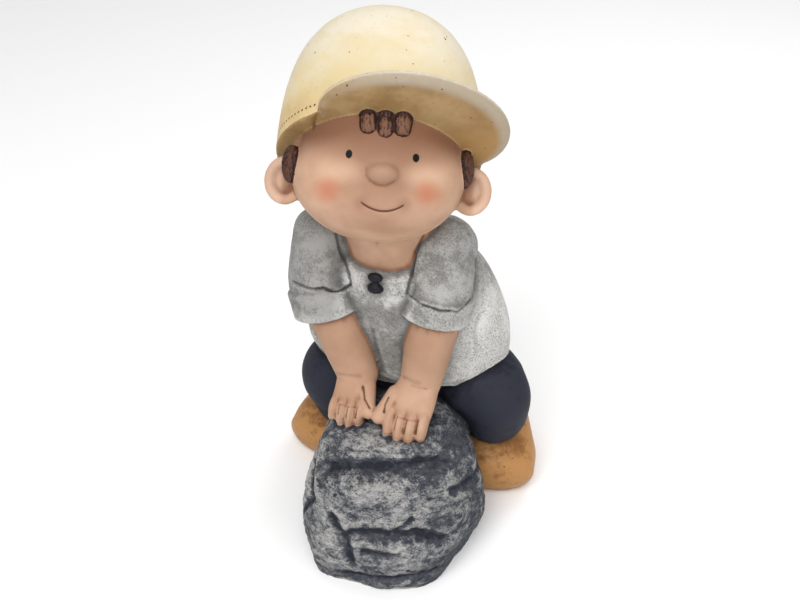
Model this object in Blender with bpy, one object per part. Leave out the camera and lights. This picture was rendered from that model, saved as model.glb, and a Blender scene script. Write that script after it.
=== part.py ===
"""A cast garden statue: a boy in a cap who stands behind a boulder and leans on it with both hands.

The boy faces -Y and +Z is up. The origin is on the ground, inside the boulder's underside and under the
boy's middle. Everything is one casting, so the forms below are fused into one closed solid, which is cut
flat where it stands on the ground.
"""

from math import cos, pi, radians, sin

import bmesh
import bpy
import numpy as np

# Driving sizes, in metres
FIGURE_HEIGHT = 0.52  # ground to the crown of the cap
ROCK_WIDTH = 0.168
ROCK_DEPTH = 0.178
ROCK_HEIGHT = 0.122
ROCK_SQUARE = 2.6  # 2 for an oval boulder seen from above, and more for a squarer one
CUT_REACH = 20  # how far inside or outside of the surface a cut's line may lie, in units
BACK_ROCK = (-8, 80)  # where the boulder's lower back stands, in units
BACK_ROCK_SIZE = (0.68, 0.55, 0.95)  # its width, depth and height, as shares of the boulder's
GRAIN = 0.0024  # grain of the fused surface
KEPT_FACES = 0.0385  # share of the fused surface's faces that the solid keeps
FINE_WEIGHT = 0.9  # under 1, so that more of its faces are kept at the hands and the face
FINE_FACTOR = 0.003  # how many more
FINENESS = 1  # how many times finer than the plain forms they are divided

# The pose is set out in units of which the figure's height holds 520. A point is (x, y, z) in units: x to
# the boy's left, y backwards and z up from the ground.
UNIT = FIGURE_HEIGHT / 520
SIDES = (-1, 1)  # the boy's right and his left

# The boulder's half width, half depth and height in units, and the point that its cuts run towards
ROCK_HALF = np.array([ROCK_WIDTH / 2, ROCK_DEPTH / 2, ROCK_HEIGHT]) / UNIT
ROCK_HEART = ROCK_HALF * (0.22, -0.67, 0.5)

# Leaning and turning, in degrees
HEAD_YAW = 18  # to his left
HEAD_PITCH = 34  # face upwards
HEAD_ROLL = -3.5
CAP_PITCH = 58  # the cap is pushed back on the head
VISOR_TURN = 29  # the visor points this far to the left of the face
SHOE_TURN = 18  # toes outwards

KNEES = (-68, 92)  # how far each knee is to the side, his right and his left
FEET = (-82, 92)
LEG_ENDS = (66, 84)  # how high the trousers end
LEG_END = 66  # the height of a leg's end that its other heights are given for
SHOE_HEIGHTS = (1.0, 1.2)  # how high each shoe is, as a share of the plain one

# The arms, his right and his left; the pitch is from one finger to the next
ARMS = (
    {
        "elbow": (-54, -22, 230),
        "wrist": (-27, -28, 160),
        "palm": (-28, -38, 147),
        "knuckle": (-29, -50, 138),
        "tip": (-30, -58, 126),
        "thumb": ((-15, -36, 154), (-7, -55, 138)),
        "pitch": 9.0,
    },
    {
        "elbow": (46, -12, 234),
        "wrist": (37, -28, 166),
        "palm": (33, -40, 150),
        "knuckle": (32, -53, 139),
        "tip": (31, -63, 126),
        "thumb": ((16, -40, 154), (5, -59, 138)),
        "pitch": 10.8,
    },
)

HEM_THICK = 4.5  # how far the roll of the shirt's hem stands out
BUTTON = (7.5, 4, 5)  # a button's half width, half depth and half height
BUTTONS = ((-3, 42, 283), (-3, 43, 271.5))  # where each is, to the left, forwards and up

# Head and cap
HEAD_MIDDLE = (0, -36, 389)
CAP_MIDDLE = (-2, -30, 400)
HEAD_HALF = (73, 70, 62)  # half width, half depth and middle to chin
SKULL_TOP = 84  # middle to the top of the skull
CAP_HALF = (88, 78)  # half width of the cap's opening, and its depth before the middle
CAP_BACK = 1.2  # its depth behind the middle, as a share of that before it
CAP_TOP = (0, -52, 128)  # the crown's top from the opening's middle, as the head has left, front and up
CAP_SQUARE = 2.7  # 2 for a round crown, and more for a fuller one
RIM_DROP = 5  # the cap's rim is this far under the opening's middle
VISOR_LENGTH = 41
VISOR_THICK = 9
VISOR_SPAN = 62  # it runs this far along the rim to either side of its middle, in degrees
VISOR_LIFT = 4  # its middle curves up by this much
FACE_LEFT = 4.5  # the face's middle line is this far to the left of the head's


def unit(v):
    return v / np.linalg.norm(v)


def turned(v, axis, degrees):
    """v turned about a unit axis by the right-hand rule."""
    c, s = cos(radians(degrees)), sin(radians(degrees))
    return v * c + np.cross(axis, v) * s + axis * (axis @ v) * (1 - c)


class Place:
    """A frame of its own for a part of the body: left, front and up, as the boy has them."""

    def __init__(self, origin, yaw=0.0, pitch=0.0, roll=0.0):
        up = np.array([0, 0, 1.0])
        self.origin = np.array(origin, float)
        self.left = turned(np.array([1.0, 0, 0]), up, yaw)
        self.front = turned(np.cross(self.left, up), self.left, -pitch)
        self.left = turned(self.left, self.front, roll)
        self.up = np.cross(self.front, self.left)

    def at(self, left, front, up):
        return self.origin + left * self.left + front * self.front + up * self.up


BODY = Place((0, 0, 0))
HEAD = Place(HEAD_MIDDLE, HEAD_YAW, HEAD_PITCH, HEAD_ROLL)
CAP = Place(CAP_MIDDLE, HEAD_YAW, CAP_PITCH, HEAD_ROLL)


def skin(rings):
    """Points and faces of a closed solid over rings of points, with a point in the middle of each end."""
    count, sides, _ = rings.shape
    points = np.vstack([rings.reshape(-1, 3), rings[0].mean(0), rings[-1].mean(0)])
    first, last = count * sides, count * sides + 1
    faces = []
    for j in range(sides):
        k = (j + 1) % sides
        for i in range(count - 1):
            here, above = i * sides, (i + 1) * sides
            faces.append((here + j, here + k, above + k, above + j))
        faces.append((first, k, j))
        faces.append((last, (count - 1) * sides + j, (count - 1) * sides + k))
    return points, faces


def smooth_rows(rows, steps):
    """The rows of numbers with more rows between them, on a Catmull-Rom curve through the given ones."""
    rows = np.array(rows, float)
    before = np.vstack([2 * rows[0] - rows[1], rows, 2 * rows[-1] - rows[-2]])
    made = []
    for a, b, c, d in zip(before, before[1:], before[2:], before[3:]):
        for t in np.arange(steps) / steps:
            bend = 2 * a - 5 * b + 4 * c - d + t * (3 * b - a - 3 * c + d)
            made.append(b + t * (c - a) / 2 + t * t * bend / 2)
    return np.array(made + [rows[-1]])


def tube(stations, across=(1, 0, 0), ends=(1.0, 1.0), sides=24, steps=5, square=2.0):
    """A limb over stations of (x, y, z, half width, half depth). `across` is the way of the width, `ends`
    how far each end bulges as a share of its size, and `square` is 2 for an ellipse and more for a fuller
    form."""
    rows = smooth_rows(stations, steps * FINENESS)
    sides *= FINENESS
    middle, size = rows[:, :3], np.maximum(rows[:, 3:], 0.2)
    along = np.gradient(middle, axis=0)
    along /= np.linalg.norm(along, axis=1)[:, None]
    rounding = np.linspace(0, pi / 2, 5 * FINENESS + 1)[1:-1]
    start, stop = [], []
    for made, end, way in ((start, 0, -1), (stop, -1, 1)):
        reach = ends[0 if end == 0 else 1] * size[end].mean()
        for a in rounding if reach else ():
            made.append((middle[end] + way * along[end] * reach * sin(a), size[end] * cos(a), along[end]))
    angle = np.arange(sides) * 2 * pi / sides
    wide = np.sign(np.cos(angle)) * np.abs(np.cos(angle)) ** (2 / square)
    deep = np.sign(np.sin(angle)) * np.abs(np.sin(angle)) ** (2 / square)
    across = np.array(across, float)
    rings = []
    for point, (half_width, half_depth), way in start[::-1] + list(zip(middle, size, along)) + stop:
        u = unit(across - way * (across @ way))
        v = np.cross(way, u)
        rings.append(point + np.outer(wide * half_width, u) + np.outer(deep * half_depth, v))
    return skin(np.array(rings))


def ball(place, middle, radii, sides=28, low=None, square=2.0):
    """An egg in a place: middle and radii run left, front and up, and `low` is another radius downwards."""
    rings = []
    sides *= FINENESS
    for a in np.linspace(-pi / 2, pi / 2, 16 * FINENESS + 1)[1:-1]:
        height = sin(a) * (low if low and a < 0 else radii[2])
        share = (1 - abs(sin(a)) ** square) ** (1 / square)
        ring = []
        for b in np.arange(sides) * 2 * pi / sides:
            left = middle[0] + radii[0] * share * cos(b)
            front = middle[1] - radii[1] * share * sin(b)
            ring.append(place.at(left, front, middle[2] + height))
        rings.append(ring)
    return skin(np.array(rings))


def bulged(form, place, bumps):
    """The form with soft bumps on it. Each has its middle in a place, how far it spreads and how far it
    stands out; one that stands out by less than nothing is a hollow."""
    points, faces = form
    away = np.array(points) - place.origin
    out = away / np.linalg.norm(away, axis=1)[:, None]
    moved = np.array(points)
    for middle, spread, height in bumps:
        far = np.linalg.norm(np.array(points) - place.at(*middle), axis=1) / spread
        moved += out * (height * np.exp(-(far**2)))[:, None]
    return moved, faces


def hoop(place, middle, half_width, half_height, thick, tilt=0.0):
    """A ring of round section in a place, in its left-up plane turned by `tilt` degrees about its left."""
    points, faces = [], []
    around, through = 32 * FINENESS, 10 * FINENESS
    for i in range(around):
        a = i * 2 * pi / around
        x, z = half_width * cos(a), half_height * sin(a)
        for j in range(through):
            b = j * 2 * pi / through
            out = thick * cos(b)
            height = z + out * sin(a)
            depth = thick * sin(b)
            points.append(
                place.at(
                    middle[0] + x + out * cos(a),
                    middle[1] + depth * cos(radians(tilt)) + height * sin(radians(tilt)),
                    middle[2] + height * cos(radians(tilt)) - depth * sin(radians(tilt)),
                )
            )
            k, m = (i + 1) % around, (j + 1) % through
            faces.append((i * through + j, i * through + m, k * through + m, k * through + j))
    return np.array(points), faces


# Cuts in the boulder that the hands rest on: how wide and deep each is, and the points that it runs
# through, as shares of the boulder's half width, half depth and height
ROCK_CUTS = (
    (6.5, 10, ((-0.42, -1.12, 0.80), (0.05, -1.10, 0.86), (0.45, -0.99, 0.88), (0.88, -0.72, 0.88))),
    (4.5, 6.5, ((0.02, -1.60, 0.48), (0.35, -1.58, 0.52), (0.78, -1.46, 0.52), (1.00, -1.25, 0.42))),
    (3.5, 4, ((0.20, -1.63, 0.37), (0.62, -1.58, 0.40))),
    (4.5, 6, ((-0.25, -1.52, 0.54), (-0.02, -1.58, 0.43), (0.08, -1.65, 0.25))),
    (4.5, 5, ((0.00, -1.66, 0.10), (0.62, -1.62, 0.16), (0.98, -1.38, 0.15))),
    (4, 5, ((-0.66, -1.00, 0.74), (-0.56, -1.32, 0.55), (-0.62, -1.20, 0.38))),
    (3, 4, ((0.56, -1.50, 0.55), (0.68, -1.35, 0.62))),
    (4.5, 5, ((1.02, -0.95, 0.72), (1.18, -0.50, 0.62), (1.12, -0.10, 0.66))),
    (4.5, 5, ((-0.72, -0.30, 0.42), (-0.76, -0.70, 0.36), (-0.70, -1.10, 0.22))),
)


def beside(points, stops):
    """How far aside of straight stretches between stops each point lies, and its way into the boulder. How
    far inside or outside of the stretches it lies doesn't matter, up to CUT_REACH."""
    inwards = (ROCK_HEART - points) * (1, 1, 0.3)
    inwards /= np.linalg.norm(inwards, axis=1)[:, None]
    away = np.full(len(points), np.inf)
    for a, b in zip(stops, stops[1:]):
        t = np.clip((points - a) @ (b - a) / ((b - a) @ (b - a)), 0, 1)
        gap = points - a - t[:, None] * (b - a)
        inside = (gap * inwards).sum(1)
        aside = np.linalg.norm(gap - inside[:, None] * inwards, axis=1)
        away = np.where(np.abs(inside) < CUT_REACH, np.minimum(away, aside), away)
    return away, inwards


def boulder(origin, wide, deep, high, cuts=()):
    """A boulder over the origin given; its sizes are half width, half depth and height."""
    # middle x and y, height, half width and half depth, as shares of the boulder's own sizes
    layers = smooth_rows(
        [
            (0.22, -0.67, -0.06, 0.86, 0.92),
            (0.22, -0.68, 0.10, 0.93, 0.99),
            (0.23, -0.67, 0.34, 1.00, 0.99),
            (0.22, -0.60, 0.58, 0.96, 0.90),
            (0.18, -0.50, 0.79, 0.86, 0.79),
            (0.11, -0.38, 0.90, 0.74, 0.66),
            (0.07, -0.33, 0.98, 0.62, 0.55),
            (0.05, -0.30, 1.01, 0.42, 0.38),
        ],
        9 * FINENESS,
    )
    rings = []
    for x, y, z, half_width, half_depth in layers:
        ring = []
        for a in np.linspace(0, 2 * pi, 72 * FINENESS, endpoint=False):
            grown = 1 + 0.03 * sin(3 * a + 1.1) + 0.022 * sin(5 * a + 4 * z) + 0.015 * cos(9 * a - 3 * z)
            corner = (abs(cos(a)) ** ROCK_SQUARE + abs(sin(a)) ** ROCK_SQUARE) ** (-1 / ROCK_SQUARE)
            ring.append(
                (
                    origin[0] + wide * (x + half_width * grown * corner * cos(a)),
                    origin[1] + deep * (y + half_depth * grown * corner * sin(a)),
                    high * z,
                )
            )
        rings.append(ring)
    points, faces = skin(np.array(rings))
    for half, depth, stops in cuts:
        away, inwards = beside(points, np.array(stops) * ROCK_HALF)
        points = points + inwards * (depth * np.exp(-((away / half) ** 2)))[:, None]
    return points, faces


def rock():
    """The boulder that the hands rest on, and its lower back between the boy's feet."""
    return [
        boulder((0, 0), *ROCK_HALF, ROCK_CUTS),
        boulder(BACK_ROCK, *(ROCK_HALF * BACK_ROCK_SIZE)),
    ]


def trousers():
    made = [tube([(0, 60, 88, 62, 40), (0, 58, 112, 84, 50), (0, 54, 140, 94, 56), (0, 52, 168, 90, 52)])]
    for side, knee, end in zip(SIDES, KNEES, LEG_ENDS):
        rise = (end - LEG_END) * 0.6
        leg = [
            (side * 46, 56, 136, 42, 44),
            (knee - side * 14, 40, 124 + rise / 2, 43, 43),
            (knee, 31, 112 + rise, 41, 41 - rise / 2),
            (knee + side * 2, 42, 88 + rise, 37, 38),
            (knee, 50, end, 35, 36),
        ]
        made.append(tube(leg, ends=(0.5, 0.2)))
    return made


def shoes():
    made = []
    for side, foot, high in zip(SIDES, FEET, SHOE_HEIGHTS):
        way = Place((foot, 74, 0), side * SHOE_TURN)
        # along the foot from heel to toe: forwards, height of the middle, half width and half height
        sole = [(-42, 30, 30, 32), (-22, 33, 34, 36), (4, 31, 37, 35), (28, 24, 40, 28), (46, 19, 37, 23)]
        rows = []
        for forwards, height, width, up in sole:
            rows.append((*way.at(0, forwards, height * high), width, up * high))
        made.append(tube(rows, way.left, ends=(0.5, 0.55), square=2.3))
    return made


def shirt():
    made = [
        tube(
            [
                (0, 50, 152, 101, 62),
                (0, 48, 166, 105, 65),
                (0, 42, 200, 103, 64),
                (-2, 24, 245, 93, 60),
                (-4, 6, 276, 76, 50),
                (-4, -1, 293, 54, 41),
            ],
            ends=(0.08, 0.1),
            sides=36,
        )
    ]
    for shoulder, elbow, cuff in (
        ((-66, -2, 299), (-66, -18, 258), (-57, -24, 226)),
        ((46, 5, 300), (49, -8, 264), (45, -14, 235)),
    ):
        made.append(tube([(*shoulder, 29, 34), (*elbow, 30, 33), (*cuff, 29, 30)], ends=(0.8, 0.2)))
        top = np.array(cuff) * 0.25 + np.array(elbow) * 0.75
        made.append(tube([(*top, 34, 35), (*cuff, 33, 33)], ends=(0.12, 0.12)))
    shoulders = [(-60, 6, 292, 29, 29), (-4, 14, 292, 32, 34), (48, 10, 296, 29, 29)]
    made.append(tube(shoulders, across=(0, 0, 1)))
    made.append(hoop(BODY, (0, -50, 160), 100, 61, HEM_THICK, tilt=90))
    return made


def buttons():
    return [ball(BODY, middle, BUTTON) for middle in BUTTONS]


def finger_line(arm, number):
    """Where a finger runs: its root, its bend over the edge and its end. Number 0 is the hand's middle."""
    slip = np.array([number * arm["pitch"], abs(number) * 2, 0])
    root = np.array(arm["palm"]) * 0.4 + np.array(arm["knuckle"]) * 0.6 + slip * (0.9, 1, 1) - (0, 0, 1.5)
    bend = np.array(arm["knuckle"]) + slip + (0, -6, -1)
    end = np.array(arm["tip"]) + slip + (0, 0, abs(abs(number) - 0.5) * 2)
    return root, bend, end


def hand(arm):
    """A hand laid flat, with the fingers bent down over the edge."""
    wide = arm["pitch"] / 2
    palm = [(*arm["wrist"], 19, 18), (*arm["palm"], wide * 4.1, 14), (*arm["knuckle"], wide * 4, 9)]
    made = [tube(palm, ends=(0.3, 0.3), square=2.4)]
    for number in (-1.5, -0.5, 0.5, 1.5):
        root, bend, end = finger_line(arm, number)
        finger = [(*root, wide, 8), (*bend, wide, 10.5), (*end, wide, 9)]
        made.append(tube(finger, sides=16))
    root, end = arm["thumb"]
    made.append(tube([(*root, 9, 9), (*end, 7, 8)], sides=14))
    return made


def arms():
    """Straight arms down to the hands, which lie side by side on the boulder with the thumbs together."""
    made = []
    for arm in ARMS:
        elbow, wrist = arm["elbow"], arm["wrist"]
        middle = (np.array(elbow) + wrist) / 2
        made.append(tube([(*elbow, 25, 25), (*middle, 23, 23), (*wrist, 20, 19)]))
        made += hand(arm)
    return made


def head():
    made = [
        tube([(-4, 8, 280, 44, 38), (-3, 4, 306, 45, 38), (0, -6, 345, 46, 40)]),
        ball(HEAD, (FACE_LEFT, 67, -12), (13.5, 11, 9)),
    ]
    bumps = [((FACE_LEFT, 58, -44), 18, 3), ((FACE_LEFT, 58, 30), 26, 3)]
    for side in SIDES:
        bumps.append(((side * 52, 38, -20), 27, 9))
        bumps.append(((FACE_LEFT + side * 26, 62, 3), 11, -2))
        made.append(ball(HEAD, (side * 76, 4, -14), (18, 7, 16)))
        made.append(hoop(HEAD, (side * 79, 8, -15), 13, 16, 4.8))
    width, depth, chin = HEAD_HALF
    skull = ball(HEAD, (0, 0, 0), (width, depth, SKULL_TOP), sides=44, low=chin, square=2.15)
    made.append(bulged(skull, HEAD, bumps))
    return made


def hair():
    made = [ball(HEAD, (0, -22, 12), (74, 60, 66))]
    for lock, low in ((-1, 20), (0, 17), (1, 20)):
        made.append(ball(HEAD, (FACE_LEFT + lock * 14, 62, low + 20), (7.5, 10, 20), square=3.4))
    for side, front, up in ((-1, 32, -4), (1, 24, 1)):
        made.append(ball(HEAD, (side * 72, front, up), (8, 10, 16)))
    return made


def crown():
    """The cap's crown over its opening, with a rim band."""
    width, depth = CAP_HALF
    rings = []
    rise = HEAD.at(*CAP_TOP) - HEAD.origin
    for a in np.linspace(0, pi / 2, 14 * FINENESS + 1)[:-1]:
        share = (1 - sin(a) ** CAP_SQUARE) ** (1 / CAP_SQUARE)
        ring = []
        for b in np.linspace(0, 2 * pi, 48 * FINENESS, endpoint=False):
            front = -depth * share * sin(b) * (CAP_BACK if sin(b) > 0 else 1)
            ring.append(CAP.at(width * share * cos(b), front, -RIM_DROP) + rise * sin(a))
        rings.append(ring)
    return skin(np.array(rings))


def visor():
    """A plate from the cap's rim, longest where it is turned to and curved up at its middle."""
    width, depth = CAP_HALF
    level = VISOR_THICK / 2 - RIM_DROP
    rings = []
    for middle in np.linspace(-1, 1, 24 * FINENESS + 1):
        a = VISOR_TURN + VISOR_SPAN * middle
        length = VISOR_LENGTH * max(1 - abs(middle) ** 2.3, 0) ** 0.8
        lift = VISOR_LIFT * max(1 - middle**2, 0)
        top, under = [], []
        for t in np.linspace(-0.4, 1, 14 * FINENESS + 1):
            reach = max(length, 1) * t if t > 0 else 30 * t
            edge = max(1 - (max(length, 1) - reach) / VISOR_THICK, 0)
            half = VISOR_THICK / 2 * (1 - 0.9 * edge**2) ** 0.5
            x, y = (width + reach) * sin(radians(a)), (depth + reach) * cos(radians(a))
            top.append(CAP.at(x, y, level + lift * max(t, 0) ** 1.3 + half))
            under.append(CAP.at(x, y, level + lift * max(t, 0) ** 1.3 - half))
        rings.append(top + under[::-1])
    return skin(np.array(rings))


def cap():
    return [crown(), visor()]


# Where small forms lie, each a middle and a reach
FINE_PLACES = (
    ((-30, -52, 136), 34),
    ((32, -56, 137), 36),
    (HEAD.at(FACE_LEFT, 60, 12), 46),
)


def joined(name, forms):
    """One mesh object that holds every form as a body of its own."""
    points, faces, count = [], [], 0
    for form_points, form_faces in forms:
        points.append(np.array(form_points) * UNIT)
        faces += [tuple(count + corner for corner in face) for face in form_faces]
        count += len(form_points)
    mesh = bpy.data.meshes.new(name)
    mesh.from_pydata(np.vstack(points).tolist(), [], faces)
    obj = bpy.data.objects.new(name, mesh)
    bpy.context.scene.collection.objects.link(obj)
    return obj


def evaluated(obj):
    return bpy.data.meshes.new_from_object(obj.evaluated_get(bpy.context.evaluated_depsgraph_get()))


def fused(obj):
    """Makes the bodies of obj one closed surface, smooths it and thins it, least at the hands and face."""
    grain = obj.modifiers.new("Fuse", "REMESH")
    grain.mode = "VOXEL"
    grain.voxel_size = GRAIN
    smooth = obj.modifiers.new("Smooth", "SMOOTH")
    smooth.factor = 0.5
    smooth.iterations = 2
    obj.data = evaluated(obj)
    obj.modifiers.clear()
    thinned = obj.vertex_groups.new(name="thinned")
    thinned.add(range(len(obj.data.vertices)), 1.0, "REPLACE")
    places = np.array([vertex.co[:] for vertex in obj.data.vertices]) / UNIT
    for middle, reach in FINE_PLACES:
        near = np.flatnonzero(np.linalg.norm(places - np.array(middle), axis=1) < reach)
        thinned.add(near.tolist(), FINE_WEIGHT, "REPLACE")
    thin = obj.modifiers.new("Thin", "DECIMATE")
    thin.ratio = KEPT_FACES
    thin.vertex_group = "thinned"
    thin.vertex_group_factor = FINE_FACTOR
    obj.data = evaluated(obj)
    obj.modifiers.clear()
    obj.vertex_groups.clear()


def stand(obj):
    """Cuts obj flat at the ground."""
    shape = bmesh.new()
    shape.from_mesh(obj.data)
    everything = shape.verts[:] + shape.edges[:] + shape.faces[:]
    ground, down = (0, 0, 0), (0, 0, -1)
    made = bmesh.ops.bisect_plane(shape, geom=everything, plane_co=ground, plane_no=down, clear_outer=True)
    edges = [item for item in made["geom_cut"] if isinstance(item, bmesh.types.BMEdge)]
    bmesh.ops.holes_fill(shape, edges=edges)
    bmesh.ops.dissolve_degenerate(shape, dist=0.00002, edges=shape.edges[:])
    bmesh.ops.triangulate(shape, faces=shape.faces[:])
    bmesh.ops.recalc_face_normals(shape, faces=shape.faces[:])
    shape.to_mesh(obj.data)
    shape.free()
    obj.data.shade_smooth()


def painted(name, colour, roughness):
    material = bpy.data.materials.new(name)
    material.use_nodes = True
    shader = material.node_tree.nodes["Principled BSDF"]
    shader.inputs["Base Color"].default_value = (*colour, 1)
    shader.inputs["Roughness"].default_value = roughness
    shader.inputs["Metallic"].default_value = 0
    return material


def main():
    for old in list(bpy.data.objects):
        bpy.data.objects.remove(old)
    forms = rock() + trousers() + shoes() + shirt() + buttons() + arms() + head() + hair() + cap()
    statue = joined("boy_statue", forms)
    fused(statue)
    stand(statue)
    statue.data.materials.clear()
    statue.data.materials.append(painted("painted_cast", (0.42, 0.40, 0.37), 0.7))


main()
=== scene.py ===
"""A cast garden statue: a boy in a cap leans on a boulder. Hand-painted matt finish with a dark wash.

The forms repeat those of the solid, divided more finely. They are fused, carved and painted here: each
point of the surface knows how far it is from each form, and takes the paint of the nearest one.
"""

from math import cos, pi, radians, sin

import bmesh
import bpy
import numpy as np
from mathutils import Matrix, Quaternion, Vector, noise
from mathutils.bvhtree import BVHTree


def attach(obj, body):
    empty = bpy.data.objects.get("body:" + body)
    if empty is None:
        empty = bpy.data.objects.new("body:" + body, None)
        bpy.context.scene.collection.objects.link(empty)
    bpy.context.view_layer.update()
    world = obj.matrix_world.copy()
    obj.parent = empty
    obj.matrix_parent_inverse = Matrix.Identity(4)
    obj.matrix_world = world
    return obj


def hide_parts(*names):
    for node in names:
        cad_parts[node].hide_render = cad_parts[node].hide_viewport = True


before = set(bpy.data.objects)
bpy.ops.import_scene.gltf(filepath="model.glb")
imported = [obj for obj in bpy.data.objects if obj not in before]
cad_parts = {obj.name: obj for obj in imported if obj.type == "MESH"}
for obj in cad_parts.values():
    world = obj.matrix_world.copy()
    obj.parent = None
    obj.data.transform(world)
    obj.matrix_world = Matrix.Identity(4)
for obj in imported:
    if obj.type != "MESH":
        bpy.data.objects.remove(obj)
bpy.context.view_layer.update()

# Driving sizes, in metres
FIGURE_HEIGHT = 0.52  # ground to the crown of the cap
ROCK_WIDTH = 0.168
ROCK_DEPTH = 0.178
ROCK_HEIGHT = 0.122
ROCK_SQUARE = 2.6  # 2 for an oval boulder seen from above, and more for a squarer one
CUT_REACH = 20  # how far inside or outside of the surface a cut's line may lie, in units
BACK_ROCK = (-8, 80)  # where the boulder's lower back stands, in units
BACK_ROCK_SIZE = (0.68, 0.55, 0.95)  # its width, depth and height, as shares of the boulder's
FINE_GRAIN = 0.0015  # grain of the fused surface
MOST_FACES = 190000  # how many triangles the piece keeps
FINENESS = 3  # how many times finer than the plain forms they are divided

# The pose is set out in units of which the figure's height holds 520. A point is (x, y, z) in units: x to
# the boy's left, y backwards and z up from the ground.
UNIT = FIGURE_HEIGHT / 520
SIDES = (-1, 1)  # the boy's right and his left

# The boulder's half width, half depth and height in units, and the point that its cuts run towards
ROCK_HALF = np.array([ROCK_WIDTH / 2, ROCK_DEPTH / 2, ROCK_HEIGHT]) / UNIT
ROCK_HEART = ROCK_HALF * (0.22, -0.67, 0.5)

# Leaning and turning, in degrees
HEAD_YAW = 18  # to his left
HEAD_PITCH = 34  # face upwards
HEAD_ROLL = -3.5
CAP_PITCH = 58  # the cap is pushed back on the head
VISOR_TURN = 29  # the visor points this far to the left of the face
SHOE_TURN = 18  # toes outwards

KNEES = (-68, 92)  # how far each knee is to the side, his right and his left
FEET = (-82, 92)
LEG_ENDS = (66, 84)  # how high the trousers end
LEG_END = 66  # the height of a leg's end that its other heights are given for
SHOE_HEIGHTS = (1.0, 1.2)  # how high each shoe is, as a share of the plain one

# The arms, his right and his left; the pitch is from one finger to the next
ARMS = (
    {
        "elbow": (-54, -22, 230),
        "wrist": (-27, -28, 160),
        "palm": (-28, -38, 147),
        "knuckle": (-29, -50, 138),
        "tip": (-30, -58, 126),
        "thumb": ((-15, -36, 154), (-7, -55, 138)),
        "pitch": 9.0,
    },
    {
        "elbow": (46, -12, 234),
        "wrist": (37, -28, 166),
        "palm": (33, -40, 150),
        "knuckle": (32, -53, 139),
        "tip": (31, -63, 126),
        "thumb": ((16, -40, 154), (5, -59, 138)),
        "pitch": 10.8,
    },
)

HEM_THICK = 4.5  # how far the roll of the shirt's hem stands out
BUTTON = (7.5, 4, 5)  # a button's half width, half depth and half height
BUTTONS = ((-3, 42, 283), (-3, 43, 271.5))  # where each is, to the left, forwards and up

# Head and cap
HEAD_MIDDLE = (0, -36, 389)
CAP_MIDDLE = (-2, -30, 400)
HEAD_HALF = (73, 70, 62)  # half width, half depth and middle to chin
SKULL_TOP = 84  # middle to the top of the skull
CAP_HALF = (88, 78)  # half width of the cap's opening, and its depth before the middle
CAP_BACK = 1.2  # its depth behind the middle, as a share of that before it
CAP_TOP = (0, -52, 128)  # the crown's top from the opening's middle, as the head has left, front and up
CAP_SQUARE = 2.7  # 2 for a round crown, and more for a fuller one
RIM_DROP = 5  # the cap's rim is this far under the opening's middle
VISOR_LENGTH = 41
VISOR_THICK = 9
VISOR_SPAN = 62  # it runs this far along the rim to either side of its middle, in degrees
VISOR_LIFT = 4  # its middle curves up by this much
FACE_LEFT = 4.5  # the face's middle line is this far to the left of the head's


def unit(v):
    return v / np.linalg.norm(v)


def turned(v, axis, degrees):
    """v turned about a unit axis by the right-hand rule."""
    c, s = cos(radians(degrees)), sin(radians(degrees))
    return v * c + np.cross(axis, v) * s + axis * (axis @ v) * (1 - c)


class Place:
    """A frame of its own for a part of the body: left, front and up, as the boy has them."""

    def __init__(self, origin, yaw=0.0, pitch=0.0, roll=0.0):
        up = np.array([0, 0, 1.0])
        self.origin = np.array(origin, float)
        self.left = turned(np.array([1.0, 0, 0]), up, yaw)
        self.front = turned(np.cross(self.left, up), self.left, -pitch)
        self.left = turned(self.left, self.front, roll)
        self.up = np.cross(self.front, self.left)

    def at(self, left, front, up):
        return self.origin + left * self.left + front * self.front + up * self.up


BODY = Place((0, 0, 0))
HEAD = Place(HEAD_MIDDLE, HEAD_YAW, HEAD_PITCH, HEAD_ROLL)
CAP = Place(CAP_MIDDLE, HEAD_YAW, CAP_PITCH, HEAD_ROLL)


def skin(rings):
    """Points and faces of a closed solid over rings of points, with a point in the middle of each end."""
    count, sides, _ = rings.shape
    points = np.vstack([rings.reshape(-1, 3), rings[0].mean(0), rings[-1].mean(0)])
    first, last = count * sides, count * sides + 1
    faces = []
    for j in range(sides):
        k = (j + 1) % sides
        for i in range(count - 1):
            here, above = i * sides, (i + 1) * sides
            faces.append((here + j, here + k, above + k, above + j))
        faces.append((first, k, j))
        faces.append((last, (count - 1) * sides + j, (count - 1) * sides + k))
    return points, faces


def smooth_rows(rows, steps):
    """The rows of numbers with more rows between them, on a Catmull-Rom curve through the given ones."""
    rows = np.array(rows, float)
    before = np.vstack([2 * rows[0] - rows[1], rows, 2 * rows[-1] - rows[-2]])
    made = []
    for a, b, c, d in zip(before, before[1:], before[2:], before[3:]):
        for t in np.arange(steps) / steps:
            bend = 2 * a - 5 * b + 4 * c - d + t * (3 * b - a - 3 * c + d)
            made.append(b + t * (c - a) / 2 + t * t * bend / 2)
    return np.array(made + [rows[-1]])


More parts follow.
